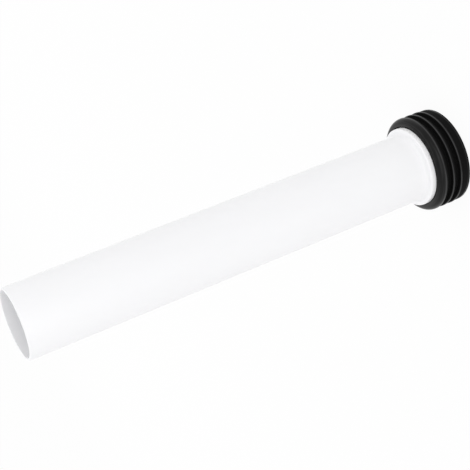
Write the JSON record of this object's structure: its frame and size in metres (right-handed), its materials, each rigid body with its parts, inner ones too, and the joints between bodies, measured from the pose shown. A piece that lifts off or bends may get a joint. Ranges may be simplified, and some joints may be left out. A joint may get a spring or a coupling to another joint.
{
  "type": "straight flush pipe",
  "caption": "Straight white plastic flush pipe with a plain square-cut end and a belled end that carries a black finned rubber seal.",
  "frame": {"origin": "centre of the seal's flat end face, on which the pipe stands", "axes": "+Z along the pipe, from the seal to the plain end; round about Z, so X and Y are free"},
  "size_m": [0.0636, 0.0636, 0.303],
  "materials": {
    "pipe": "smooth white, soft gloss",
    "seal": "black, satin"
  },
  "bodies": {
    "root": {"flush_pipe": "pipe", "fin_seal": "seal"}
  },
  "joints": []
}
